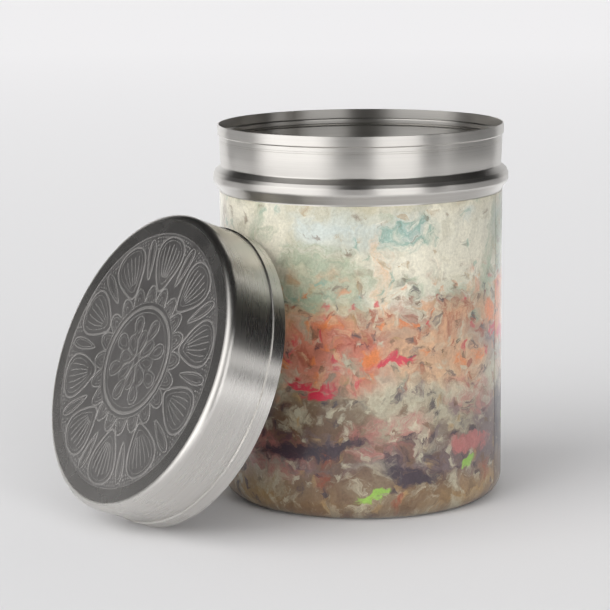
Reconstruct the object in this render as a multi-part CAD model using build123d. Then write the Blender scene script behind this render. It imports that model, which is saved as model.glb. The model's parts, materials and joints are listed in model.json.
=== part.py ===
from build123d import *
import os
from math import cos, radians, sin, sqrt

# A slip-lid steel canister with a printed film round its body, and its lid
# taken off and leant against its left side. Millimetres and degrees.
# The origin is on the canister's axis at floor level, +Z is up, and the lid
# lies on the -X side with its own axis in a plane parallel to XZ.

# Body, over the film
body_diameter = 100.0
body_height = 132.3

# Sheet and film
sheet = 0.45
pan_sheet = 0.5
wrap_film = 0.15

# Base pan, joggled to take the wall over its flange
corner_radius = 7.0
joint_rise = 1.0
lap_height = 5.0
lap_clearance = 0.02

# Rim band, expanded outwards by the height of its joggle's step
rim_band_height = 3.5
rim_band_step = 0.55
rim_joggle_rise = 0.4

# Neck, drawn in slightly towards the bead
neck_height = 14.4
neck_straight = 9.8
neck_taper = 0.4

# Bead: a sloping ledge, a crease, an upright land and a sloping foot
bead_bulge = 2.25
ledge_rise = 1.75
crease_inset = 0.65
crease_rise = 1.25
bead_land = 2.4
bead_foot_rise = 3.25

# Film: where it starts and stops, and the gap where its two ends meet
wrap_top_gap = 0.45
wrap_foot_height = 0.5
wrap_seam_gap = 0.3
wrap_seam_angle = -56.5

# Lid, sized from the bead that it grips and the rim that it covers
lid_bead_clearance = 0.1
lid_band_height = 4.8
lid_band_step = 0.6
lid_joggle_rise = 0.2
lid_headroom = 0.8
lid_corner_radius = 2.6

# How the lid leans: its axis rises by this angle, away from the body
lid_lean = 22.7
lid_side_offset = 3.2
lean_gap = 0.3
floor_gap = 0.1


def formed_sheet(outside, corner_radii, thickness):
    """Turned section of a formed sheet. Its outside follows the (radius, height)
    points with rounded corners, or sharp ones where the radius is 0, and the sheet
    lies to the left of that line."""
    travel = [(Vector(b) - Vector(a)).normalized() for a, b in zip(outside, outside[1:])]
    normals = [Vector(-step.Y, step.X) for step in travel]
    inside = [Vector(outside[0]) + normals[0] * thickness]
    inside_radii = []
    for corner, before, after, radius, step, onward in zip(
        outside[1:-1], normals, normals[1:], corner_radii, travel, travel[1:]
    ):
        mitre = (before + after) / (1 + before.dot(after))
        inside.append(Vector(corner) + mitre * thickness)
        turns_left = step.cross(onward).Z > 0
        if radius == 0:
            inside_radii.append(0)
        elif turns_left:
            inside_radii.append(max(radius - thickness, 0))
        else:
            inside_radii.append(radius + thickness)
    inside.append(Vector(outside[-1]) + normals[-1] * thickness)

    outer_line = FilletPolyline(*outside, radius=corner_radii)
    inner_line = FilletPolyline(*inside, radius=inside_radii)
    start = Line(outer_line @ 0, inner_line @ 0)
    end = Line(outer_line @ 1, inner_line @ 1)
    section = make_face([outer_line, end, inner_line, start])
    return revolve(Plane.XZ * section, Axis.Z)


# Radii and heights that the pieces share
wrap_radius = body_diameter / 2
wall_radius = wrap_radius - wrap_film
bead_radius = wall_radius + bead_bulge
rim_radius = wall_radius + rim_band_step
joint_height = corner_radius + joint_rise

rim_top = body_height
band_foot = rim_top - rim_band_height
ledge_top = rim_top - neck_height
crease_height = ledge_top - ledge_rise
bead_shoulder = crease_height - crease_rise
bead_hip = bead_shoulder - bead_land
bead_foot = bead_hip - bead_foot_rise


def make_base_pan():
    """Pressed pan: flat floor, rounded corner, then a flange set in by one sheet."""
    flange_radius = wall_radius - sheet - lap_clearance
    outside = [
        (0, 0),
        (wall_radius, 0),
        (wall_radius, joint_height),
        (flange_radius, joint_height),
        (flange_radius, joint_height + lap_height),
    ]
    return formed_sheet(outside, [corner_radius, 0, 0], pan_sheet)


# Outside of the wall, from the pan's joggle up to the rim
wall_outside = [
    (wall_radius, joint_height),
    (wall_radius, bead_foot),
    (bead_radius, bead_hip),
    (bead_radius, bead_shoulder),
    (bead_radius - crease_inset, crease_height),
    (wall_radius - neck_taper, ledge_top),
    (wall_radius, rim_top - neck_straight),
    (wall_radius, band_foot - rim_joggle_rise),
    (rim_radius, band_foot),
    (rim_radius, rim_top),
]


def make_body_wall():
    """Tube from the pan's joggle to the rim, with the bead, neck and rim band formed in it."""
    foot_round, hip_round, shoulder_round, crease_round = 0.8, 1.8, 1.2, 0.5
    ledge_round, taper_round, joggle_round = 0.7, 6.0, 0.15
    corner_radii = [
        foot_round,
        hip_round,
        shoulder_round,
        crease_round,
        ledge_round,
        taper_round,
        joggle_round,
        joggle_round,
    ]
    return formed_sheet(wall_outside, corner_radii, sheet)


def make_printed_wrap():
    """Film from just under the bead, down the wall and round the pan's corner."""
    outside = [
        (wall_radius - corner_radius - wrap_film, -wrap_film),
        (wrap_radius, -wrap_film),
        (wrap_radius, bead_foot - wrap_top_gap),
    ]
    sleeve = formed_sheet(outside, [corner_radius + wrap_film], wrap_film)
    below_foot = Box(
        body_diameter, body_diameter, corner_radius, align=(Align.CENTER, Align.CENTER, Align.MAX)
    )
    seam = Box(
        wrap_radius, wrap_seam_gap, body_height, align=(Align.MIN, Align.CENTER, Align.MIN)
    )
    sleeve -= Pos(0, 0, wrap_foot_height) * below_foot
    sleeve -= Rot(0, 0, wrap_seam_angle) * Pos(wrap_radius / 2, 0, 0) * seam
    return sleeve


# Lid sizes: its step seats on the bead's crease, its face clears the rim
lid_mouth_radius = bead_radius + lid_bead_clearance + sheet
lid_skirt_radius = lid_mouth_radius - lid_band_step
lid_depth = rim_top + lid_headroom + sheet - (crease_height - lid_band_height)


def body_radius_at(height):
    """The body's outside radius at a height: the film's up to the bead, then the wall's."""
    if height < bead_foot:
        return wrap_radius
    for (low_radius, low), (high_radius, high) in zip(wall_outside, wall_outside[1:]):
        if low <= height < high:
            return low_radius + (high_radius - low_radius) * (height - low) / (high - low)
    return 0


def lean_reach():
    """How far the middle of the lid's mouth stands from the body's axis, so that
    the edge of the mouth comes within lean_gap of the body and no nearer."""
    tilt = radians(lid_lean)
    reach = 0
    for degree in range(360):
        side = lid_side_offset + lid_mouth_radius * cos(radians(degree))
        up_the_slope = lid_mouth_radius * sin(radians(degree))
        height = floor_gap + (lid_mouth_radius + up_the_slope) * cos(tilt)
        clear_radius = body_radius_at(height) + lean_gap
        if abs(side) < clear_radius:
            reach = max(reach, sqrt(clear_radius**2 - side**2) + up_the_slope * sin(tilt))
    return reach


def lean(lid):
    """Moves a lid from its own axis, mouth at the origin, to where it leans."""
    height = floor_gap + lid_mouth_radius * cos(radians(lid_lean))
    return Pos(-lean_reach(), lid_side_offset, height) * Rot(0, lid_lean - 90, 0) * lid


def make_lid_cap():
    """Drawn cap: mouth band, small step, straight skirt, rounded edge and flat face."""
    outside = [
        (lid_mouth_radius, 0),
        (lid_mouth_radius, lid_band_height),
        (lid_skirt_radius, lid_band_height + lid_joggle_rise),
        (lid_skirt_radius, lid_depth),
        (0, lid_depth),
    ]
    joggle_round = 0.1
    corner_radii = [joggle_round, joggle_round, lid_corner_radius]
    return lean(formed_sheet(outside, corner_radii, sheet))


os.makedirs("parts", exist_ok=True)
export_step(make_base_pan(), "parts/base_pan.step")
export_step(make_body_wall(), "parts/body_wall.step")
export_step(make_printed_wrap(), "parts/printed_wrap.step")
export_step(make_lid_cap(), "parts/lid_cap.step")
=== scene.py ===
import json
from math import atan2, ceil, cos, hypot, pi, radians, sin, tan, tau
from random import Random

import bmesh
import bpy
from mathutils import Matrix, Vector


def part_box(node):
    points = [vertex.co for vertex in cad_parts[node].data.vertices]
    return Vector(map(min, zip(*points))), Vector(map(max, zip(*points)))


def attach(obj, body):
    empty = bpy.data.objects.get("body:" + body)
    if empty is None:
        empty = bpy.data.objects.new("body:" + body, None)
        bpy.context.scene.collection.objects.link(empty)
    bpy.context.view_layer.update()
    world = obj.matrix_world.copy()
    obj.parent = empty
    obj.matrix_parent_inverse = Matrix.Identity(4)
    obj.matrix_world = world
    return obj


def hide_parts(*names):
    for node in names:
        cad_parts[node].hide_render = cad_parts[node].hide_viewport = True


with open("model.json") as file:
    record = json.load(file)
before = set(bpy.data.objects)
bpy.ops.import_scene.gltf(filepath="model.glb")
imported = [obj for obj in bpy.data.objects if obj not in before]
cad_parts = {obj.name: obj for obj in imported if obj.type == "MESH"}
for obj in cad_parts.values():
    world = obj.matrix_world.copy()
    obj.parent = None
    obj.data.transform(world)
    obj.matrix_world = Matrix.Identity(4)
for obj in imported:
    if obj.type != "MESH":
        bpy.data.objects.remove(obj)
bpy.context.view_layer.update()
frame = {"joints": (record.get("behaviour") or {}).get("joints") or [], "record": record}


# Base pan. A shallow pan pressed from stainless sheet: flat floor, rounded corner,
# then a flange set in by one sheet, which the wall laps over and is seamed to.
mm = 0.001
pan_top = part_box("base_pan")[1]
wall_radius = pan_top.x
pan_sheet = 0.5 * mm
pan_corner_radius = 7 * mm
joint_height = 8 * mm
flange_inset = 0.47 * mm
edge_easing = 0.12 * mm
steel_colour = (0.64, 0.62, 0.59, 1)


def rounded_line(corners, radii):
    """Points along a line through (radius, height) corners, with each corner between
    its two ends rounded to its own radius."""
    points = [Vector(corners[0])]
    for before, corner, after, radius in zip(corners, corners[1:], corners[2:], radii):
        corner = Vector(corner)
        arriving = (corner - Vector(before)).normalized()
        leaving = (Vector(after) - corner).normalized()
        turn = atan2(arriving.cross(leaving), arriving.dot(leaving))
        if radius == 0 or abs(turn) < 0.001:
            points.append(corner)
            continue
        side = 1 if turn > 0 else -1
        start = corner - arriving * radius * tan(abs(turn) / 2)
        centre = start + Vector((-arriving.y, arriving.x)) * radius * side
        steps = max(4, ceil(abs(turn) / radians(7)))
        for step in range(steps + 1):
            points.append(centre + Matrix.Rotation(turn * step / steps, 2) @ (start - centre))
    points.append(Vector(corners[-1]))
    return points


def eased_edge(outer, inner):
    """The cut edge of a sheet between its two faces, with its corners just taken off."""
    across = inner - outer
    outwards = Vector((across.y, -across.x)).normalized()
    return [
        outer + across * (1 - cos(pi * step / 6)) / 2 + outwards * edge_easing * sin(pi * step / 6)
        for step in range(1, 6)
    ]


def sheet_outline(outside, radii, thickness):
    """Outer and inner line of a formed sheet that lies to the left of its outside line."""
    travel = [(Vector(b) - Vector(a)).normalized() for a, b in zip(outside, outside[1:])]
    normals = [Vector((-step.y, step.x)) for step in travel]
    inside = [Vector(outside[0]) + normals[0] * thickness]
    inside_radii = []
    for corner, radius, before, after in zip(outside[1:-1], radii, normals, normals[1:]):
        mitre = (before + after) / (1 + before.dot(after))
        inside.append(Vector(corner) + mitre * thickness)
        turns_left = before.cross(after) > 0
        smaller = max(radius - thickness, 0)
        inside_radii.append(0 if radius == 0 else smaller if turns_left else radius + thickness)
    inside.append(Vector(outside[-1]) + normals[-1] * thickness)
    outer_line = rounded_line(outside, radii)
    inner_line = rounded_line(inside, inside_radii)
    return outer_line, inner_line


def evenly_shaded(mesh):
    """The mesh with its shading held flat on its wide faces, so that only its small
    rounds take the curve."""
    shaded = bpy.data.objects.new("shaded", mesh)
    bpy.context.scene.collection.objects.link(shaded)
    weighting = shaded.modifiers.new("weighting", "WEIGHTED_NORMAL")
    weighting.keep_sharp = True
    graph = bpy.context.evaluated_depsgraph_get()
    ready = bpy.data.meshes.new_from_object(shaded.evaluated_get(graph), depsgraph=graph)
    ready.name = mesh.name
    bpy.data.objects.remove(shaded)
    return ready


def turned_mesh(name, outline, segments=240, start=0, sweep=tau):
    """Turns a closed (radius, height) outline about Z. Its UV map, sheet, is in metres:
    round the axis, then along the outline."""
    closed = sweep == tau
    columns = segments if closed else segments + 1
    girth = max(point.x for point in outline)
    rows, points, along = [], [], [0]
    for point, following in zip(outline, outline[1:] + outline[:1]):
        along.append(along[-1] + (following - point).length)
        if point.x < 1e-7:
            rows.append([len(points)] * (segments + 1))
            points.append((0, 0, point.y))
            continue
        row = list(range(len(points), len(points) + columns))
        rows.append(row + row[:1] if closed else row)
        for column in range(columns):
            angle = start + sweep * column / segments
            points.append((point.x * cos(angle), point.x * sin(angle), point.y))
    faces, corners = [], []
    for index, row in enumerate(rows):
        above = rows[(index + 1) % len(rows)]
        for column in range(segments):
            left = column * sweep / segments * girth
            right = (column + 1) * sweep / segments * girth
            face = [
                (row[column], left, along[index]),
                (row[column + 1], right, along[index]),
                (above[column + 1], right, along[index + 1]),
                (above[column], left, along[index + 1]),
            ]
            if face[0][0] == face[1][0]:
                face.pop(1)
            if face[-1][0] == face[-2][0]:
                face.pop(-1)
            if len(face) > 2:
                faces.append([corner[0] for corner in face])
                corners.extend(corner[1:] for corner in face)
    if not closed:
        for column, distance in ((0, 0), (segments, sweep * girth)):
            faces.append([row[column] for row in rows])
            corners.extend((distance, along[index]) for index in range(len(rows)))
    mesh = bpy.data.meshes.new(name)
    mesh.from_pydata(points, [], faces)
    uv = mesh.uv_layers.new(name="sheet")
    for corner, place in zip(uv.data, corners):
        corner.uv = place
    tidy = bmesh.new()
    tidy.from_mesh(mesh)
    bmesh.ops.remove_doubles(tidy, verts=tidy.verts, dist=1e-7)
    bmesh.ops.dissolve_degenerate(tidy, edges=tidy.edges, dist=1e-8)
    bmesh.ops.recalc_face_normals(tidy, faces=tidy.faces)
    tidy.to_mesh(mesh)
    tidy.free()
    mesh.shade_smooth()
    mesh.set_sharp_from_angle(angle=radians(40))
    return evenly_shaded(mesh)


def add_piece(name, mesh, body, slot, *nodes):
    """Puts a finished mesh in the scene, riding on its body in place of its CAD nodes."""
    piece = bpy.data.objects.new(name, mesh)
    bpy.context.scene.collection.objects.link(piece)
    if nodes:
        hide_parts(*nodes)
    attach(piece, body)
    return piece


def add_node(tree, kind, inputs=None, **settings):
    """Adds a node with its settings, and links or sets each of the inputs."""
    node = tree.nodes.new(kind)
    for setting, value in settings.items():
        setattr(node, setting, value)
    for socket, value in (inputs or {}).items():
        if isinstance(value, bpy.types.NodeSocket):
            tree.links.new(value, node.inputs[socket])
        else:
            node.inputs[socket].default_value = value
    return node


def new_material(name):
    """An empty node material and its node tree."""
    material = bpy.data.materials.new(name)
    material.use_nodes = True
    material.node_tree.nodes.clear()
    return material, material.node_tree


def blend_colours(tree, factor, first, second, mode="MIX"):
    """Colour socket of a mix from the first colour to the second."""
    mix = add_node(tree, "ShaderNodeMix", {0: factor, 6: first, 7: second}, data_type="RGBA", blend_type=mode)
    return mix.outputs[2]


def remap(tree, value, low, high, to_low=0.0, to_high=1.0, smooth=False):
    """Value socket moved from one range to another and held within it."""
    kind = "SMOOTHSTEP" if smooth else "LINEAR"
    inputs = {"Value": value, "From Min": low, "From Max": high, "To Min": to_low, "To Max": to_high}
    return add_node(tree, "ShaderNodeMapRange", inputs, interpolation_type=kind).outputs[0]


def noise(tree, place, stretch, detail=3.0, roughness=0.55):
    """Noise value on a place stretched by three scales, in cells to the metre."""
    stretched = add_node(tree, "ShaderNodeVectorMath", {0: place, 1: stretch}, operation="MULTIPLY")
    inputs = {"Vector": stretched.outputs[0], "Scale": 1.0, "Detail": detail, "Roughness": roughness}
    return add_node(tree, "ShaderNodeTexNoise", inputs).outputs["Fac"]


def turned_steel(name, colour, roughness, anisotropy):
    """Stainless steel polished on a lathe, with fine lines that run round the piece."""
    material, tree = new_material(name)
    place = add_node(tree, "ShaderNodeUVMap", uv_map="sheet").outputs[0]
    fine_lines = noise(tree, place, (6, 3200, 0), 2)
    broad_lines = noise(tree, place, (3, 620, 0), 2)
    handling = noise(tree, place, (40, 60, 0), 3)
    lines = blend_colours(tree, 0.4, fine_lines, broad_lines)
    darker = tuple(channel * 0.88 for channel in colour[:3]) + (1,)
    tint = blend_colours(tree, remap(tree, lines, 0.3, 0.7), darker, colour)
    worn = add_node(tree, "ShaderNodeMath", {0: handling, 1: lines}, operation="ADD").outputs[0]
    gloss = remap(tree, worn, 0.7, 1.3, roughness - 0.035, roughness + 0.035)
    bump_inputs = {"Strength": 0.25, "Distance": 0.01 * mm, "Height": lines}
    bump = add_node(tree, "ShaderNodeBump", bump_inputs).outputs[0]
    round_axis = add_node(tree, "ShaderNodeTangent", direction_type="UV_MAP", uv_map="sheet").outputs[0]
    surface = {
        "Base Color": tint,
        "Metallic": 1.0,
        "Roughness": gloss,
        "Anisotropic": anisotropy,
        "Anisotropic Rotation": 0.25,
        "Normal": bump,
        "Tangent": round_axis,
    }
    shader = add_node(tree, "ShaderNodeBsdfPrincipled", surface)
    add_node(tree, "ShaderNodeOutputMaterial", {"Surface": shader.outputs[0]})
    return material


pan_outside = [
    (0, 0),
    (wall_radius, 0),
    (wall_radius, joint_height),
    (wall_radius - flange_inset, joint_height),
    (wall_radius - flange_inset, pan_top.z - edge_easing),
]
outer, inner = sheet_outline(pan_outside, [pan_corner_radius, 0, 0], pan_sheet)
pan_mesh = turned_mesh("base_pan_steel", outer + eased_edge(outer[-1], inner[-1]) + inner[::-1])
pan_steel = turned_steel("pan_steel", steel_colour, 0.34, 0.7)
pan_mesh.materials.append(pan_steel)
add_piece("base_pan_steel", pan_mesh, "canister", "body_steel", "base_pan")


# Body wall. A rolled tube of thinner stainless sheet with the rim band, neck and
# bead formed in it. Two fine lines are scored round the neck, and its lower end
# laps over the pan's flange.
wall_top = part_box("body_wall")[1]
rim_top = wall_top.z
bead_radius = wall_top.x
sheet = 0.45 * mm
rim_radius = wall_radius + 0.55 * mm
band_foot = rim_top - 3.5 * mm
neck_foot = rim_top - 14.4 * mm
bead_crease = neck_foot - 1.75 * mm
bead_shoulder = bead_crease - 1.25 * mm
bead_hip = bead_shoulder - 2.4 * mm
bead_foot = bead_hip - 3.25 * mm
score_heights = (126.3 * mm, 126.97 * mm)
score_half_width = 0.06 * mm
score_depth = 0.08 * mm

wall_outside = [
    (wall_radius, joint_height),
    (wall_radius, bead_foot),
    (bead_radius, bead_hip),
    (bead_radius, bead_shoulder),
    (bead_radius - 0.65 * mm, bead_crease),
    (wall_radius - 0.4 * mm, neck_foot),
    (wall_radius, rim_top - 9.8 * mm),
]
wall_radii = [0.8 * mm, 1.8 * mm, 1.2 * mm, 0.5 * mm, 0.7 * mm, 55 * mm]
for height in score_heights:
    wall_outside.append((wall_radius, height - score_half_width))
    wall_outside.append((wall_radius - score_depth, height))
    wall_outside.append((wall_radius, height + score_half_width))
    wall_radii += [0, 0, 0]
wall_outside += [
    (wall_radius, band_foot - 0.4 * mm),
    (rim_radius, band_foot),
    (rim_radius, rim_top - edge_easing),
]
wall_radii += [0.15 * mm, 0.15 * mm]
outer, inner = sheet_outline(wall_outside, wall_radii, sheet)
wall_mesh = turned_mesh("body_wall_steel", outer + eased_edge(outer[-1], inner[-1]) + inner[::-1])
wall_steel = turned_steel("wall_steel", steel_colour, 0.32, 0.8)
wall_mesh.materials.append(wall_steel)
add_piece("body_wall_steel", wall_mesh, "canister", "body_steel", "body_wall")


# Printed wrap. A clear-coated film with an abstract painted print, drawn tight from
# just under the bead down the wall and round the pan's corner. Its two ends meet in
# a narrow upright gap, where the print doesn't match.
wrap_low, wrap_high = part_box("printed_wrap")
wrap_film = 0.15 * mm
wrap_radius = wall_radius + wrap_film
seam_angle = radians(-56.5)
seam_gap = 0.3 * mm
foot_round = pan_corner_radius + wrap_film
foot_drop = foot_round - wrap_film - wrap_low.z

foot_sweep = atan2(foot_drop, (foot_round**2 - foot_drop**2) ** 0.5)
wrap_outer = []
wrap_inner = []
foot_steps = 12
for step in range(foot_steps + 1):
    angle = -foot_sweep * (1 - step / foot_steps)
    turn = Vector((cos(angle), sin(angle)))
    middle = Vector((wrap_radius - foot_round, foot_round - wrap_film))
    wrap_outer.append(middle + turn * foot_round)
    wrap_inner.append(middle + turn * pan_corner_radius)
wrap_outer.append(Vector((wrap_radius, wrap_high.z)))
wrap_inner.append(Vector((wrap_radius - wrap_film, wrap_high.z)))
half_gap = seam_gap / 2 / wrap_radius
wrap_mesh = turned_mesh(
    "printed_wrap_film",
    wrap_outer + wrap_inner[::-1],
    320,
    seam_angle + half_gap,
    tau - 2 * half_gap,
)
# The print map counts in units of 100 mm: round the wrap from the seam, then up
print_unit = 100
units_to_metre = 10
print_map = wrap_mesh.uv_layers.new(name="print")
for polygon in wrap_mesh.polygons:
    for loop, vertex in zip(polygon.loop_indices, polygon.vertices):
        place = wrap_mesh.vertices[vertex].co
        behind = wrap_mesh.uv_layers["sheet"].data[loop].uv.x
        print_map.data[loop].uv = (behind * units_to_metre, place.z * units_to_metre)


def ink(red, green, blue):
    """Linear colour of an ink given in 0 to 255 screen values."""
    return tuple(((value / 255 + 0.055) / 1.055) ** 2.4 for value in (red, green, blue)) + (1,)


cream, bone, mist = ink(222, 217, 198), ink(188, 182, 158), ink(190, 198, 192)
sage, mint, teal = ink(144, 160, 136), ink(158, 196, 172), ink(104, 152, 138)
peach, salmon, orange = ink(206, 162, 124), ink(200, 116, 90), ink(216, 122, 60)
yellow, crimson, rose = ink(236, 184, 70), ink(200, 36, 66), ink(176, 106, 102)
plum, mauve, umber = ink(56, 44, 58), ink(114, 98, 100), ink(108, 82, 60)
ochre, rust, lime = ink(164, 134, 90), ink(148, 64, 38), ink(146, 190, 80)

wrap_paint, tree = new_material("wrap_print")
print_place = add_node(tree, "ShaderNodeUVMap", uv_map="print").outputs[0]


def ruffle(place, cells, reach):
    """Moves a place by smooth noise, so that edges drawn on it turn ragged."""
    inputs = {"Vector": place, "Scale": cells, "Detail": 3.0, "Roughness": 0.6}
    wander = add_node(tree, "ShaderNodeTexNoise", inputs).outputs["Color"]
    centred = add_node(tree, "ShaderNodeVectorMath", {0: wander, 1: (0.5, 0.5, 0.5)}, operation="SUBTRACT")
    moved = {0: centred.outputs[0], 1: (reach, reach, 0), 2: place}
    return add_node(tree, "ShaderNodeVectorMath", moved, operation="MULTIPLY_ADD").outputs[0]


soft_place = ruffle(ruffle(print_place, 5, 0.16), 22, 0.06)
ragged_place = ruffle(ruffle(soft_place, 60, 0.035), 150, 0.014)
speckle = noise(tree, ragged_place, (26, 20, 0), 7, 0.8)
grain = noise(tree, print_place, (110, 90, 0), 5, 0.75)
dry_strokes = noise(tree, soft_place, (30, 5, 0), 6, 0.75)
cross_strokes = noise(tree, soft_place, (7, 32, 0), 6, 0.75)
mottle = noise(tree, soft_place, (11, 14, 0), 6, 0.7)

height = add_node(tree, "ShaderNodeSeparateXYZ", {0: soft_place}).outputs[1]
ramp = add_node(tree, "ShaderNodeValToRGB", {"Fac": remap(tree, height, 0, 1.09)})
ground_tones = [
    (0.00, umber),
    (0.07, ochre),
    (0.16, mauve),
    (0.30, umber),
    (0.42, bone),
    (0.55, mauve),
    (0.63, peach),
    (0.72, sage),
    (0.82, bone),
    (0.93, mist),
    (1.00, bone),
]
for spare in range(len(ground_tones) - 2):
    ramp.color_ramp.elements.new(0.5)
for element, (position, tone) in zip(ramp.color_ramp.elements, ground_tones):
    element.position = position
    element.color = tone
paint = ramp.outputs[0]
patches = noise(tree, ragged_place, (3.2, 4.4, 0), 3, 0.6)
paint = blend_colours(tree, remap(tree, patches, 0.5, 0.62, 0, 0.65), paint, bone)


def daub(under, x, z, width, height, lean, colour, strength, place, dry=None, bare=0.42):
    """One stroke of paint over what is under it: a soft oval, in millimetres round the
    wrap from the seam and up from the floor. Where dry names a texture, the stroke is
    broken up, and it leaves bare what lies under that level of the texture."""
    settings = {
        "Vector": place,
        "Location": (x / print_unit, z / print_unit, 0),
        "Rotation": (0, 0, radians(lean)),
        "Scale": (width / 2 / print_unit, height / 2 / print_unit, 1),
    }
    local = add_node(tree, "ShaderNodeMapping", settings, vector_type="TEXTURE").outputs[0]
    reach = add_node(tree, "ShaderNodeVectorMath", {0: local}, operation="LENGTH").outputs[1]
    cover = remap(tree, reach, 1.2, 0.7, 0, strength, smooth=True)
    if dry is not None:
        broken = remap(tree, dry, bare, bare + 0.14)
        cover = add_node(tree, "ShaderNodeMath", {0: cover, 1: broken}, operation="MULTIPLY").outputs[0]
    return blend_colours(tree, cover, under, colour)


def dragged(place, under):
    """Moves a place a little by the colour beneath, as a brush drags over thicker paint."""
    pull = {0: under, 1: (0.012, 0.012, 0), 2: place}
    return add_node(tree, "ShaderNodeVectorMath", pull, operation="MULTIPLY_ADD").outputs[0]


chance_of = Random(11)
wrap_length = tau * wrap_radius / mm


def row_of(under, place, count, heights, widths, sizes, lean, strength, tones, dry=None, bare=0.42):
    """A row of strokes all the way round, each laid by chance within its own share of
    the length: its height, width, size, lean and tone are drawn within the given limits."""
    for number in range(count):
        x = (number + chance_of.random()) * wrap_length / count
        z = chance_of.uniform(*heights)
        width = chance_of.uniform(*widths)
        size = chance_of.uniform(*sizes)
        turned = chance_of.uniform(-lean, lean)
        colour = chance_of.choice(tones)
        under = daub(under, x, z, width, size, turned, colour, strength, place, dry, bare)
    return under


# The first layer: wide washes, cool above, warm in the middle and dark below
washes = [
    (9, (76, 102), (30, 50), (24, 42), 12, 0.8, (cream, mint, mist, bone, sage, cream)),
    (8, (50, 70), (32, 50), (20, 28), 12, 0.8, (peach, salmon, bone, orange, peach)),
    (8, (24, 42), (30, 44), (24, 34), 14, 0.8, (mauve, umber, bone, umber, plum)),
    (5, (4, 14), (50, 80), (12, 18), 6, 0.75, (ochre, umber, ochre, mauve)),
]
for row in washes:
    paint = row_of(paint, soft_place, *row)

# Mottling: thin worn patches everywhere, and darker ones in the lower half
worn_patches = remap(tree, mottle, 0.53, 0.6, 0, 0.4)
paint = blend_colours(tree, worn_patches, paint, bone)
lower_half = remap(tree, height, 0.75, 0.35)
stained = remap(tree, mottle, 0.46, 0.38, 0, 0.55)
stains = add_node(tree, "ShaderNodeMath", {0: stained, 1: lower_half}, operation="MULTIPLY").outputs[0]
paint = blend_colours(tree, stains, paint, umber)

# The second layer: dry brush strokes over the washes, upright in the pale part above
# and level in the dark part below
dragged_place = dragged(ragged_place, paint)
dry_work = [
    (9, (82, 98), (5, 9), (32, 50), 10, 0.6, (ochre, peach, umber, sage), dry_strokes),
    (5, (84, 104), (22, 38), (9, 15), 10, 0.7, (teal, sage, teal), cross_strokes),
    (8, (54, 74), (24, 42), (8, 16), 14, 0.6, (rust, orange, rust, umber), speckle),
    (9, (18, 42), (22, 44), (16, 32), 12, 0.65, (plum, umber, plum, rose), speckle),
]
for row in dry_work:
    paint = row_of(paint, dragged_place, *row)

# The last layer: flecks, then small strong touches of pure colour
dragged_place = dragged(ragged_place, paint)


def flecks(under, cells, share, low, high, strength, tones):
    """Scatters worn flecks of a few tones over what is under them: one in the given share
    of the cells, with so many cells to 100 mm, between two heights in millimetres."""
    fade = 6
    spots = {"Vector": dragged_place, "Scale": cells}
    scatter = add_node(tree, "ShaderNodeTexVoronoi", spots, voronoi_dimensions="2D").outputs
    chance = add_node(tree, "ShaderNodeSeparateColor", {0: scatter["Color"]}).outputs
    palette = add_node(tree, "ShaderNodeValToRGB", {"Fac": chance[0]})
    steps = palette.color_ramp
    steps.interpolation = "CONSTANT"
    for spare in range(len(tones) - 2):
        steps.elements.new(0.5)
    for number, element in enumerate(steps.elements):
        element.position = number / len(tones)
        element.color = tones[number]
    held = remap(tree, chance[1], 1 - share, 1.01 - share)
    shape = remap(tree, scatter["Distance"], 0.62, 0.2, 0, strength)
    worn = remap(tree, speckle, 0.4, 0.52)
    above = remap(tree, height, (low - fade) / print_unit, (low + fade) / print_unit)
    below = remap(tree, height, (high + fade) / print_unit, (high - fade) / print_unit)
    cover = held
    for part in (shape, worn, above, below):
        cover = add_node(tree, "ShaderNodeMath", {0: cover, 1: part}, operation="MULTIPLY").outputs[0]
    return blend_colours(tree, cover, under, palette.outputs[0])


fleck_rows = [
    (13, 0.42, 0, 52, 0.75, (umber, bone, plum, rust, mauve, bone)),
    (30, 0.4, 0, 48, 0.8, (plum, bone, umber, ochre, plum, bone)),
    (16, 0.42, 48, 82, 0.8, (orange, peach, rust, salmon, bone, sage)),
    (32, 0.36, 44, 84, 0.75, (rust, ochre, crimson, bone, plum, orange)),
    (40, 0.34, 46, 84, 0.8, (umber, plum, peach, rust, umber, bone)),
    (14, 0.3, 78, 112, 0.6, (cream, mist, bone, sage)),
    (34, 0.16, 74, 112, 0.6, (ochre, cream, umber, teal)),
]
for row in fleck_rows:
    paint = flecks(paint, *row)

worn_edge = 0.33
touches = [
    (12, (44, 62), (8, 18), (3, 7), 24, 0.92, (crimson,)),
    (8, (54, 74), (5, 11), (4, 9), 30, 0.92, (yellow, orange)),
    (11, (12, 32), (12, 26), (4, 8), 16, 0.92, (plum, plum, rose)),
    (6, (6, 30), (6, 11), (3, 5), 20, 0.92, (lime, ochre, peach)),
]
for row in touches:
    paint = row_of(paint, dragged_place, *row, cross_strokes, worn_edge)

specks = remap(tree, speckle, 0.6, 0.66, 0, 0.5)
paint = blend_colours(tree, specks, paint, umber)
streaks = add_node(tree, "ShaderNodeMath", {0: dry_strokes, 1: grain}, operation="ADD").outputs[0]
light_and_dark = remap(tree, streaks, 0.72, 1.28, 0.64, 1.06)
paint = blend_colours(tree, 1.0, paint, light_and_dark, "MULTIPLY")
film_surface = {
    "Base Color": paint,
    "Roughness": 0.32,
    "IOR": 1.5,
    "Coat Weight": 0.6,
    "Coat Roughness": 0.09,
    "Coat IOR": 1.5,
}
film = add_node(tree, "ShaderNodeBsdfPrincipled", film_surface)
add_node(tree, "ShaderNodeOutputMaterial", {"Surface": film.outputs[0]})
wrap_mesh.materials.append(wrap_paint)
add_piece("printed_wrap_film", wrap_mesh, "canister", "printed_film", "printed_wrap")


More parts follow.
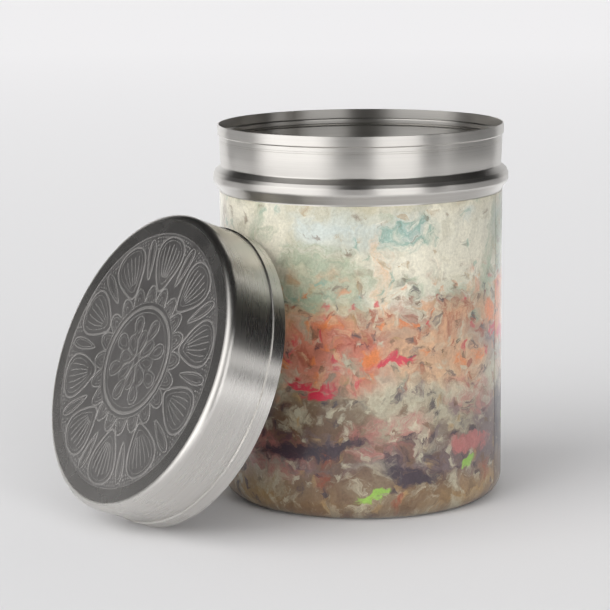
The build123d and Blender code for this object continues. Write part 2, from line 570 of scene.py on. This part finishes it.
# Lid. A drawn cap of the same sheet: mouth band, small step, straight skirt, rounded
# edge and flat face. It is off the canister, leaning on its side, face outwards. The
# middle of its face is etched, which leaves it a hair lower than the border.
mounts = {mount["name"]: mount for mount in frame["record"]["mounts"]}
lid_axis = Vector(frame["joints"][0]["axis"]).normalized()
mouth_bore = mounts["lid_mouth"]
mouth_centre = Vector(mouth_bore["pos_m"]) - lid_axis * mouth_bore["dims"]["length_mm"] * mm / 2
mouth_radius = mouth_bore["dims"]["r_mm"] * mm + sheet
skirt_radius = mouth_radius - 0.6 * mm
mouth_band = 4.8 * mm
lid_depth = 22.2 * mm
lid_round = 2.6 * mm
etched_radius = 44.9 * mm
etched_depth = 0.03 * mm

lid_outside = [
    (mouth_radius, edge_easing),
    (mouth_radius, mouth_band),
    (skirt_radius, mouth_band + 0.2 * mm),
    (skirt_radius, lid_depth),
    (etched_radius, lid_depth),
    (etched_radius - etched_depth, lid_depth - etched_depth),
    (0, lid_depth - etched_depth),
]
lid_radii = [0.1 * mm, 0.1 * mm, lid_round, 0, 0]
outer, inner = sheet_outline(lid_outside, lid_radii, sheet)
lid_mesh = turned_mesh("lid_cap_steel", outer + inner[::-1] + eased_edge(outer[0], inner[0])[::-1])


def satin_steel(name, colour, roughness, grain_depth):
    """Stainless steel with an even satin grain, the same in every direction."""
    material, tree = new_material(name)
    place = add_node(tree, "ShaderNodeTexCoord").outputs["Object"]
    grain = noise(tree, place, (2600, 2600, 2600), 2)
    cloud = noise(tree, place, (55, 55, 55), 3)
    darker = tuple(channel * 0.9 for channel in colour[:3]) + (1,)
    tint = blend_colours(tree, grain, darker, colour)
    bump_inputs = {"Strength": 0.3, "Distance": grain_depth, "Height": grain}
    bump = add_node(tree, "ShaderNodeBump", bump_inputs).outputs[0]
    surface = {
        "Base Color": tint,
        "Metallic": 1.0,
        "Roughness": remap(tree, cloud, 0.3, 0.7, roughness - 0.03, roughness + 0.03),
        "Normal": bump,
    }
    shader = add_node(tree, "ShaderNodeBsdfPrincipled", surface)
    add_node(tree, "ShaderNodeOutputMaterial", {"Surface": shader.outputs[0]})
    return material


# The skirt's steel is the body's steel painted brighter: painted light that stands in for the bright floor it
# mirrors.
skirt_steel_painted_brighter = turned_steel("skirt_steel_painted_brighter", (0.7, 0.68, 0.65, 1), 0.28, 0.86)
lid_face_steel = satin_steel("lid_face_steel", (0.6, 0.58, 0.56, 1), 0.27, 0.006 * mm)
field_steel = satin_steel("field_steel", (0.56, 0.54, 0.53, 1), 0.31, 0.008 * mm)
etched_steel = satin_steel("etched_steel", (0.6, 0.58, 0.56, 1), 0.43, 0.015 * mm)
for material in (skirt_steel_painted_brighter, lid_face_steel, field_steel):
    lid_mesh.materials.append(material)
for polygon in lid_mesh.polygons:
    from_axis = hypot(polygon.center.x, polygon.center.y)
    below_face = lid_depth - polygon.center.z
    if below_face < 1.5 * sheet and from_axis < skirt_radius - lid_round:
        etched = below_face < sheet / 2 and from_axis < etched_radius
        polygon.material_index = 2 if etched else 1

lid_place = Matrix.Translation(mouth_centre) @ Matrix.Rotation(atan2(lid_axis.x, lid_axis.z), 4, "Y")
lid_mesh.transform(lid_place)
add_piece("lid_cap_steel", lid_mesh, "lid", "lid_steel", "lid_cap")


# Etched ornament. A ring of ribbed petals, drops and scallops round a rosette. Its
# matt lines are what the acid left standing in the middle of the lid, level with the
# border. It is drawn face up, in a unit of its own.
drawing_unit = 1.065 * mm
line_rise = etched_depth + 0.02 * mm
line_middle = lid_depth - line_rise / 2


def ring_tree():
    """Geometry nodes that give drawn lines a width and a height, and repeat them in a ring.
    The section's bottom side comes out uppermost, so that side is the narrow one."""
    tree = bpy.data.node_groups.new("ornament_ring", "GeometryNodeTree")
    tree.interface.new_socket("Geometry", in_out="INPUT", socket_type="NodeSocketGeometry")
    sizes = {}
    for name, kind in (("Count", "Int"), ("Turn", "Float"), ("Line Width", "Float"), ("Line Rise", "Float")):
        sizes[name] = tree.interface.new_socket(name, in_out="INPUT", socket_type="NodeSocket" + kind)
    sizes["Steel"] = tree.interface.new_socket("Steel", in_out="INPUT", socket_type="NodeSocketMaterial")
    tree.interface.new_socket("Geometry", in_out="OUTPUT", socket_type="NodeSocketGeometry")
    given = add_node(tree, "NodeGroupInput").outputs
    curve = add_node(tree, "GeometryNodeMeshToCurve", {0: given["Geometry"]})
    upright = add_node(tree, "GeometryNodeSetCurveNormal", {0: curve.outputs[0]}, mode="Z_UP")
    top = add_node(tree, "ShaderNodeMath", {0: given["Line Width"], 1: 0.7}, operation="MULTIPLY")
    section_sizes = {
        "Height": given["Line Rise"],
        "Bottom Width": top.outputs[0],
        "Top Width": given["Line Width"],
        "Offset": 0.0,
    }
    section = add_node(tree, "GeometryNodeCurvePrimitiveQuadrilateral", section_sizes, mode="TRAPEZOID")
    lines = add_node(tree, "GeometryNodeCurveToMesh", {"Curve": upright.outputs[0]})
    tree.links.new(section.outputs[0], lines.inputs["Profile Curve"])
    lines.inputs["Fill Caps"].default_value = True
    spokes = add_node(tree, "GeometryNodePoints", {"Count": given["Count"]})
    index = add_node(tree, "GeometryNodeInputIndex")
    share = add_node(tree, "ShaderNodeMath", {0: tau, 1: given["Count"]}, operation="DIVIDE")
    turn_inputs = {0: index.outputs[0], 1: share.outputs[0], 2: given["Turn"]}
    turn = add_node(tree, "ShaderNodeMath", turn_inputs, operation="MULTIPLY_ADD")
    facing = add_node(tree, "ShaderNodeCombineXYZ", {2: turn.outputs[0]})
    ring_inputs = {"Points": spokes.outputs[0], "Instance": lines.outputs[0], "Rotation": facing.outputs[0]}
    ring = add_node(tree, "GeometryNodeInstanceOnPoints", ring_inputs)
    real = add_node(tree, "GeometryNodeRealizeInstances", {0: ring.outputs[0]})
    steel_inputs = {"Geometry": real.outputs[0], "Material": given["Steel"]}
    made = add_node(tree, "GeometryNodeSetMaterial", steel_inputs)
    add_node(tree, "NodeGroupOutput", {0: made.outputs[0]})
    return tree, sizes


def dot_tree():
    """Geometry nodes that put a low round dot, of slightly varied size, on every point."""
    tree = bpy.data.node_groups.new("ornament_dots", "GeometryNodeTree")
    tree.interface.new_socket("Geometry", in_out="INPUT", socket_type="NodeSocketGeometry")
    sizes = {}
    for name, kind in (("Dot Radius", "Float"), ("Dot Rise", "Float"), ("Seed", "Int")):
        sizes[name] = tree.interface.new_socket(name, in_out="INPUT", socket_type="NodeSocket" + kind)
    sizes["Steel"] = tree.interface.new_socket("Steel", in_out="INPUT", socket_type="NodeSocketMaterial")
    tree.interface.new_socket("Geometry", in_out="OUTPUT", socket_type="NodeSocketGeometry")
    given = add_node(tree, "NodeGroupInput").outputs
    top = add_node(tree, "ShaderNodeMath", {0: given["Dot Radius"], 1: 0.75}, operation="MULTIPLY")
    dot_inputs = {
        "Vertices": 9,
        "Radius Top": top.outputs[0],
        "Radius Bottom": given["Dot Radius"],
        "Depth": given["Dot Rise"],
    }
    dot = add_node(tree, "GeometryNodeMeshCone", dot_inputs)
    varied = add_node(tree, "FunctionNodeRandomValue", {2: 0.72, 3: 1.12}, data_type="FLOAT")
    tree.links.new(given["Seed"], varied.inputs["Seed"])
    spread_inputs = {"Points": given["Geometry"], "Instance": dot.outputs[0], "Scale": varied.outputs[1]}
    spread = add_node(tree, "GeometryNodeInstanceOnPoints", spread_inputs)
    real = add_node(tree, "GeometryNodeRealizeInstances", {0: spread.outputs[0]})
    steel_inputs = {"Geometry": real.outputs[0], "Material": given["Steel"]}
    made = add_node(tree, "GeometryNodeSetMaterial", steel_inputs)
    add_node(tree, "NodeGroupOutput", {0: made.outputs[0]})
    return tree, sizes


ornament = bmesh.new()
ornament_steels = [etched_steel]
ring_nodes, ring_sizes = ring_tree()
dot_nodes, dot_sizes = dot_tree()


def gather(drawing, nodes, sizes, values):
    """Runs a drawing mesh through the nodes and adds the result to the ornament."""
    part = bpy.data.objects.new("ornament_part", drawing)
    bpy.context.scene.collection.objects.link(part)
    modifier = part.modifiers.new("repeat", "NODES")
    modifier.node_group = nodes
    for name, value in values.items():
        modifier[sizes[name].identifier] = value
    graph = bpy.context.evaluated_depsgraph_get()
    ready = bpy.data.meshes.new_from_object(part.evaluated_get(graph), depsgraph=graph)
    for polygon in ready.polygons:
        polygon.material_index = ornament_steels.index(values["Steel"])
    ornament.from_mesh(ready)
    bpy.data.objects.remove(part)


def ring_of(lines, count, width, turn=0.0):
    """A ring of equal motifs, each made of lines: lists of (across, outwards) points in
    the drawing's units, closed where the last point is the first."""
    points, edges = [], []
    for line in lines:
        loop = line[0] == line[-1]
        kept = line[:-1] if loop else line
        first = len(points)
        points += [(y * drawing_unit, -x * drawing_unit, line_middle) for x, y in kept]
        edges += [(first + step, first + step + 1) for step in range(len(kept) - 1)]
        if loop:
            edges.append((len(points) - 1, first))
    drawing = bpy.data.meshes.new("ornament_lines")
    drawing.from_pydata(points, edges, [])
    values = {
        "Count": count,
        "Turn": radians(turn),
        "Line Width": width * mm,
        "Line Rise": line_rise,
        "Steel": etched_steel,
    }
    gather(drawing, ring_nodes, ring_sizes, values)


def circle(radius, steps=120):
    """A closed circle round the middle of the lid."""
    line = [(radius * sin(tau * step / steps), radius * cos(tau * step / steps)) for step in range(steps)]
    return line + line[:1]


leaf_slimness = 0.55


def leaf(root, tip, half_width, fullness=0.75, steps=36):
    """A closed leaf from its root radius to its tip radius, fullest beyond its middle."""
    line = []
    for step in range(steps):
        turn = tau * step / steps
        along = (1 - cos(turn)) / 2
        swell = sin(turn) * (leaf_slimness + fullness * along)
        line.append((half_width * swell, root + (tip - root) * along))
    return line + line[:1]


def arch(root, rise, half_width, steps=14):
    """An open round arch standing on a circle of the root radius."""
    return [
        (-half_width * cos(pi * step / steps), root + rise * sin(pi * step / steps))
        for step in range(steps + 1)
    ]


# Rosette in the middle
ring_of([circle(1.5, 24)], 1, 0.4)
ring_of([leaf(2, 9.8, 2.3)], 8, 0.45)
ring_of([leaf(3.8, 8.8, 1.2)], 8, 0.26)
ring_of([leaf(7.2, 14.8, 2.5)], 8, 0.5, 22.5)
ring_of([leaf(9, 13.6, 1.4)], 8, 0.26, 22.5)
ring_of([circle(15.7)], 1, 0.3)
ring_of([circle(17.4)], 1, 1.3)
ring_of([circle(19.1)], 1, 0.3)

# Scallops standing on the circle
ring_of([arch(19.2, 5.4, 2.9)], 20, 0.65, 9)
ring_of([arch(19.2, 4.1, 1.9)], 20, 0.28, 9)
ring_of([arch(19.2, 2.4, 0.9, 8)], 20, 0.28, 9)

# Ten ribbed petals, with a narrow drop in each gap
petal_count = 10
petal_root, petal_tip, petal_width, petal_fullness = 23, 41.1, 6.2, 1.1
drop_root, drop_tip, drop_width, drop_fullness = 27, 40.6, 1.9, 0.75
drop_turn = 180 / petal_count
ribs = []
for rib in range(-2, 3):
    lean_out = rib / 2
    ribs.append([
        (lean_out * 1.5, 27.6),
        (lean_out * 3.1, 31.4),
        (lean_out * 4.1, 35.2),
        (lean_out * 4.2, 38.6 - 1.6 * abs(lean_out)),
    ])
ring_of([leaf(petal_root, petal_tip, petal_width, petal_fullness)], petal_count, 0.85)
ring_of([leaf(petal_root + 2.4, petal_tip - 1.2, petal_width - 1.3, petal_fullness)], petal_count, 0.28)
ring_of(ribs, petal_count, 0.42)
ring_of([leaf(drop_root, drop_tip, drop_width, drop_fullness)], petal_count, 0.6, drop_turn)
ring_of([leaf(drop_root + 2, drop_tip - 1.4, drop_width - 0.8, drop_fullness)], petal_count, 0.28, drop_turn)
ring_of([circle(41.9)], 1, 0.3)

# Pebbles in the gaps between the petals
pebble_rows = [34.5, 35.8, 37.1, 38.4, 39.7, 40.9]
pebble_radius, pebble_spacing, pebble_gap = 0.45, 1.4, 1
pebble_rise = 0.02 * mm
motifs = []
for number in range(petal_count):
    turn = number * 360 / petal_count
    motifs.append((turn, petal_root, petal_tip, petal_width, petal_fullness))
    motifs.append((turn + drop_turn, drop_root, drop_tip, drop_width, drop_fullness))


def clear_of_motifs(angle, radius):
    """Whether a pebble at this place keeps off every petal and drop."""
    for turn, root, tip, half_width, fullness in motifs:
        away = (angle - radians(turn) + pi) % tau - pi
        along = min(max((radius - root) / (tip - root), 0), 1)
        swell = 2 * (along - along**2) ** 0.5 * (leaf_slimness + fullness * along)
        if abs(sin(away)) * radius < half_width * swell + pebble_gap and abs(away) < pi / 2:
            return False
    return True


points = []
for row, radius in enumerate(pebble_rows):
    count = int(tau * radius / pebble_spacing)
    for step in range(count):
        angle = tau * (step + row % 2 / 2) / count
        if clear_of_motifs(angle, radius):
            level = lid_depth - etched_depth + pebble_rise / 2
            reach = radius * drawing_unit
            points.append((reach * cos(angle), -reach * sin(angle), level))
drawing = bpy.data.meshes.new("ornament_points")
drawing.from_pydata(points, [], [])
values = {
    "Dot Radius": pebble_radius * mm,
    "Dot Rise": pebble_rise,
    "Seed": 3,
    "Steel": etched_steel,
}
gather(drawing, dot_nodes, dot_sizes, values)

ornament_mesh = bpy.data.meshes.new("lid_ornament")
ornament.to_mesh(ornament_mesh)
ornament.free()
for material in ornament_steels:
    ornament_mesh.materials.append(material)
ornament_mesh.shade_flat()
ornament_mesh.transform(lid_place)
add_piece("lid_ornament", ornament_mesh, "lid", "lid_steel")


# Floor. A pale table, wide enough to fill every view, its colour painted paler with distance from the
# canister as painted light. What polished steel sees of it carries a painted glow away from the canister and
# ends a little way out, as a table's edge does.
floor_half_width = 9.0
table_reach = 0.6
table_fade = 0.08
glow_start, glow_full, glow_strength = 0.16, 0.3, 0.38
painted_light_start, painted_light_full = 0.3, 2.4
floor_paint, tree = new_material("floor_paint")
place = add_node(tree, "ShaderNodeTexCoord").outputs["Object"]
from_tin = add_node(tree, "ShaderNodeVectorMath", {0: place}, operation="LENGTH").outputs[1]
beyond = remap(tree, from_tin, table_reach, table_reach + table_fade)
seen_in_gloss = add_node(tree, "ShaderNodeLightPath").outputs["Is Glossy Ray"]
hidden = add_node(tree, "ShaderNodeMath", {0: beyond, 1: seen_in_gloss}, operation="MULTIPLY").outputs[0]
# Painted light: the floor's colour is darker near the canister and paler far off.
painted_light_fade = remap(tree, from_tin, painted_light_start, painted_light_full)
shaded_near_tone, lit_far_tone = (0.735, 0.735, 0.745, 1), (0.86, 0.855, 0.87, 1)
tone = blend_colours(tree, painted_light_fade, shaded_near_tone, lit_far_tone)
matt = add_node(tree, "ShaderNodeBsdfDiffuse", {"Color": tone})
# Painted light: a glow that only glossy rays see, rising away from the canister, so the steel mirrors a
# brighter floor.
painted_glow_amount = remap(tree, from_tin, glow_start, glow_full, 0, glow_strength)
glow_in_gloss = add_node(tree, "ShaderNodeMath", {0: painted_glow_amount, 1: seen_in_gloss}, operation="MULTIPLY").outputs[0]
painted_glow = add_node(tree, "ShaderNodeEmission", {"Strength": glow_in_gloss})
table = add_node(tree, "ShaderNodeAddShader", {0: matt.outputs[0], 1: painted_glow.outputs[0]})
clear = add_node(tree, "ShaderNodeBsdfTransparent")
shown = add_node(tree, "ShaderNodeMixShader", {0: hidden, 1: table.outputs[0], 2: clear.outputs[0]})
add_node(tree, "ShaderNodeOutputMaterial", {"Surface": shown.outputs[0]})
floor_mesh = bpy.data.meshes.new("floor")
side = floor_half_width
floor_corners = [(-side, -side, 0), (side, -side, 0), (side, side, 0), (-side, side, 0)]
floor_mesh.from_pydata(floor_corners, [], [(0, 1, 2, 3)])
floor_mesh.materials.append(floor_paint)
floor = bpy.data.objects.new("floor", floor_mesh)
bpy.context.scene.collection.objects.link(floor)


# Camera. A long lens, a little above the rim and looking down at the canister.
camera_distance = 0.8113
camera_height = 0.2112
camera_bearing = radians(-125.31)
look_bearing = radians(56.11)
look_down = radians(10.086)
camera_roll = -0.0093
lens_length = 135.98

camera = bpy.data.cameras.new("camera")
camera.lens = lens_length
camera.sensor_width = 36
camera_object = bpy.data.objects.new("camera", camera)
bpy.context.scene.collection.objects.link(camera_object)
camera_spot = (
    camera_distance * cos(camera_bearing),
    camera_distance * sin(camera_bearing),
    camera_height,
)
look = Vector((cos(look_down) * cos(look_bearing), cos(look_down) * sin(look_bearing), -sin(look_down)))
aim = look.to_track_quat("-Z", "Y").to_matrix().to_4x4()
camera_object.matrix_world = Matrix.Translation(camera_spot) @ aim @ Matrix.Rotation(camera_roll, 4, "Z")
bpy.context.scene.camera = camera_object


# Studio. Two soft boxes either side of the camera, low strips, a fill for the floor and
# a backdrop behind the canister. They are far off, so the world carries them. Angles
# are from the camera's side of the canister, to the right, and up from the floor.
world = bpy.data.worlds.new("studio")
bpy.context.scene.world = world
world.use_nodes = True
tree = world.node_tree
tree.nodes.clear()
direction = add_node(tree, "ShaderNodeTexCoord").outputs["Generated"]
from_camera = add_node(
    tree, "ShaderNodeVectorRotate", {"Vector": direction, "Angle": -camera_bearing}, rotation_type="Z_AXIS"
)
split = add_node(tree, "ShaderNodeSeparateXYZ", {0: from_camera.outputs[0]}).outputs
bearing = add_node(tree, "ShaderNodeMath", {0: split[1], 1: split[0]}, operation="ARCTAN2").outputs[0]
elevation = add_node(tree, "ShaderNodeMath", {0: split[2]}, operation="ARCSINE").outputs[0]


def window(value, low, high, softness):
    """1 between two angles in degrees, falling to 0 over the softness each side."""
    half = softness / 2
    rising = remap(tree, value, radians(low - half), radians(low + half), smooth=True)
    falling = remap(tree, value, radians(high - half), radians(high + half), 1, 0, smooth=True)
    return add_node(tree, "ShaderNodeMath", {0: rising, 1: falling}, operation="MULTIPLY").outputs[0]


def add_light(total, left, right, bottom, top, softness, strength):
    """Adds a soft-edged panel of light to the total."""
    wide = window(bearing, left, right, softness)
    tall = window(elevation, bottom, top, softness)
    panel = add_node(tree, "ShaderNodeMath", {0: wide, 1: tall}, operation="MULTIPLY").outputs[0]
    return add_node(
        tree, "ShaderNodeMath", {0: panel, 1: strength, 2: total}, operation="MULTIPLY_ADD"
    ).outputs[0]


paths = add_node(tree, "ShaderNodeLightPath").outputs
room_dim, room_bright = 0.022, 0.44
lit = remap(tree, paths["Is Glossy Ray"], 0, 1, room_bright, room_dim)
key_strength = remap(tree, paths["Is Glossy Ray"], 0, 1, 3.4, 1.8)
fill_strength = remap(tree, paths["Is Glossy Ray"], 0, 1, 0.8, 0)
lit = add_light(lit, -200, 52, -95, 9, 10, 0.15)
lit = add_light(lit, 52, 122, -95, 9, 10, 0.045)
lit = add_light(lit, 122, 200, -95, 9, 10, 0.15)
lit = add_light(lit, -128, -100, -20, 8, 5, 0.22)
lit = add_light(lit, -88, -24, -25, 50, 24, key_strength)
lit = add_light(lit, -40, 60, 0, 50, 20, fill_strength)
lit = add_light(lit, 11, 49, -25, 37, 10, 1.6)
lit = add_light(lit, 66, 79, 2, 13, 4, 1.6)
lit = add_light(lit, 140, 200, -25, 24, 14, 0.55)
lit = add_light(lit, -200, -136, -25, 20, 12, 0.85)
backdrop_glow = 0.87
brightness = add_node(tree, "ShaderNodeMix", {0: paths["Is Camera Ray"], 2: lit, 3: backdrop_glow}).outputs[0]
background = add_node(tree, "ShaderNodeBackground", {"Color": (1, 0.995, 0.99, 1), "Strength": brightness})
add_node(tree, "ShaderNodeOutputWorld", {"Surface": background.outputs[0]})
world.cycles.sampling_method = "NONE"
bpy.context.scene.view_settings.view_transform = "Standard"
